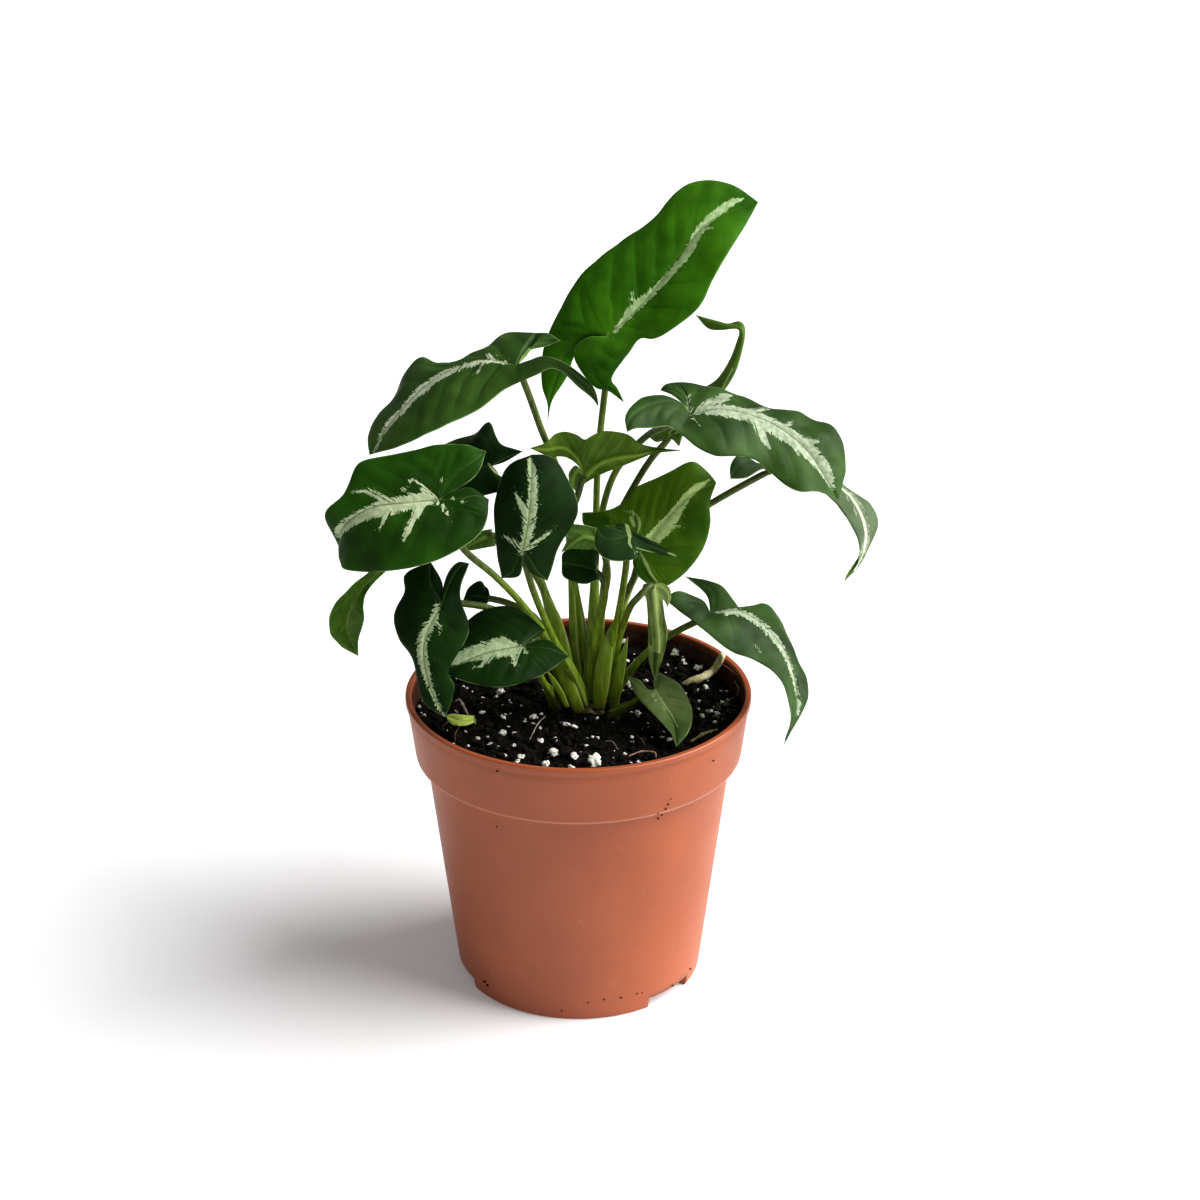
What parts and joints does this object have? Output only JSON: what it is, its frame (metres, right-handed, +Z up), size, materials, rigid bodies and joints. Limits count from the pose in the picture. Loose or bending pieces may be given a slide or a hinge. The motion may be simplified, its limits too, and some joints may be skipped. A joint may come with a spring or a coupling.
{
  "type": "potted syngonium wendlandii",
  "caption": "Small arrowhead vine with dark velvety leaves and silver midribs, growing in a plain terracotta-coloured plastic nursery pot of dark potting mix.",
  "frame": {"origin": "centre of the pot's underside, on the surface the pot stands on", "axes": "+Z up along the pot's axis, -Y towards the viewer in the picture, +X to the viewer's right"},
  "size_m": [0.1896, 0.12, 0.2753],
  "materials": {
    "pot": "satin terracotta-coloured polypropylene with fine scuffs",
    "soil": "damp near-black potting mix with white grains",
    "stalk": "smooth green leaf stalks with pale sheaths",
    "leaf": "velvety dark green blades with a silvery jagged midrib mark and paler undersides",
    "root": "rough pale yellow root",
    "seedling": "soft yellow-green seed leaf"
  },
  "bodies": {
    "root": {"pot": "pot", "soil": "soil", "stalks": "stalk", "leaf_top": "leaf", "leaf_upper_left": "leaf", "leaf_right": "leaf", "leaf_far_right": "leaf", "leaf_left": "leaf", "leaf_middle": "leaf", "leaf_bright": "leaf", "leaf_lower_right": "leaf", "leaf_lower_left": "leaf", "leaf_low_front": "leaf", "leaf_left_hanging": "leaf", "leaf_back_centre": "leaf", "leaf_back_left": "leaf", "leaf_twisted": "leaf", "leaf_young": "leaf", "leaf_rolled": "leaf", "leaf_on_soil": "leaf", "leaf_small_round": "leaf", "leaf_inner_dark": "leaf", "leaf_inner_pale": "leaf", "leaf_pale_behind": "leaf", "old_root": "root", "seedling": "seedling"}
  },
  "joints": []
}
